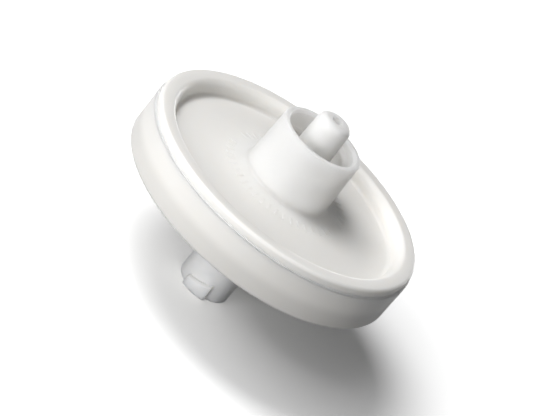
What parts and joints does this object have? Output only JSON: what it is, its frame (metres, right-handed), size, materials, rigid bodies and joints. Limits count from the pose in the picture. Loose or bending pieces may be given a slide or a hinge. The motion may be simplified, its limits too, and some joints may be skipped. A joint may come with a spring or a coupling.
{
  "type": "syringe filter",
  "caption": "Disc filter for a syringe: moulded halves and an edge band hold a membrane between a female luer hub and a luer tip in its threaded locking collar.",
  "frame": {"origin": "on the flow axis, in the plane of the inlet hub's open end, which the filter stands on", "axes": "+Z along the flow, from the inlet hub to the outlet tip; -Y through the middle of one ear of the inlet hub"},
  "size_m": [0.034, 0.034, 0.0252],
  "materials": {
    "inlet_plastic": "satin, slightly translucent",
    "membrane_film": "matt porous film",
    "outlet_plastic": "satin, slightly translucent",
    "band_plastic": "satin, slightly translucent"
  },
  "bodies": {
    "root": {"inlet_housing": "inlet_plastic", "membrane": "membrane_film", "outlet_housing": "outlet_plastic", "sealing_band": "band_plastic"}
  },
  "joints": []
}
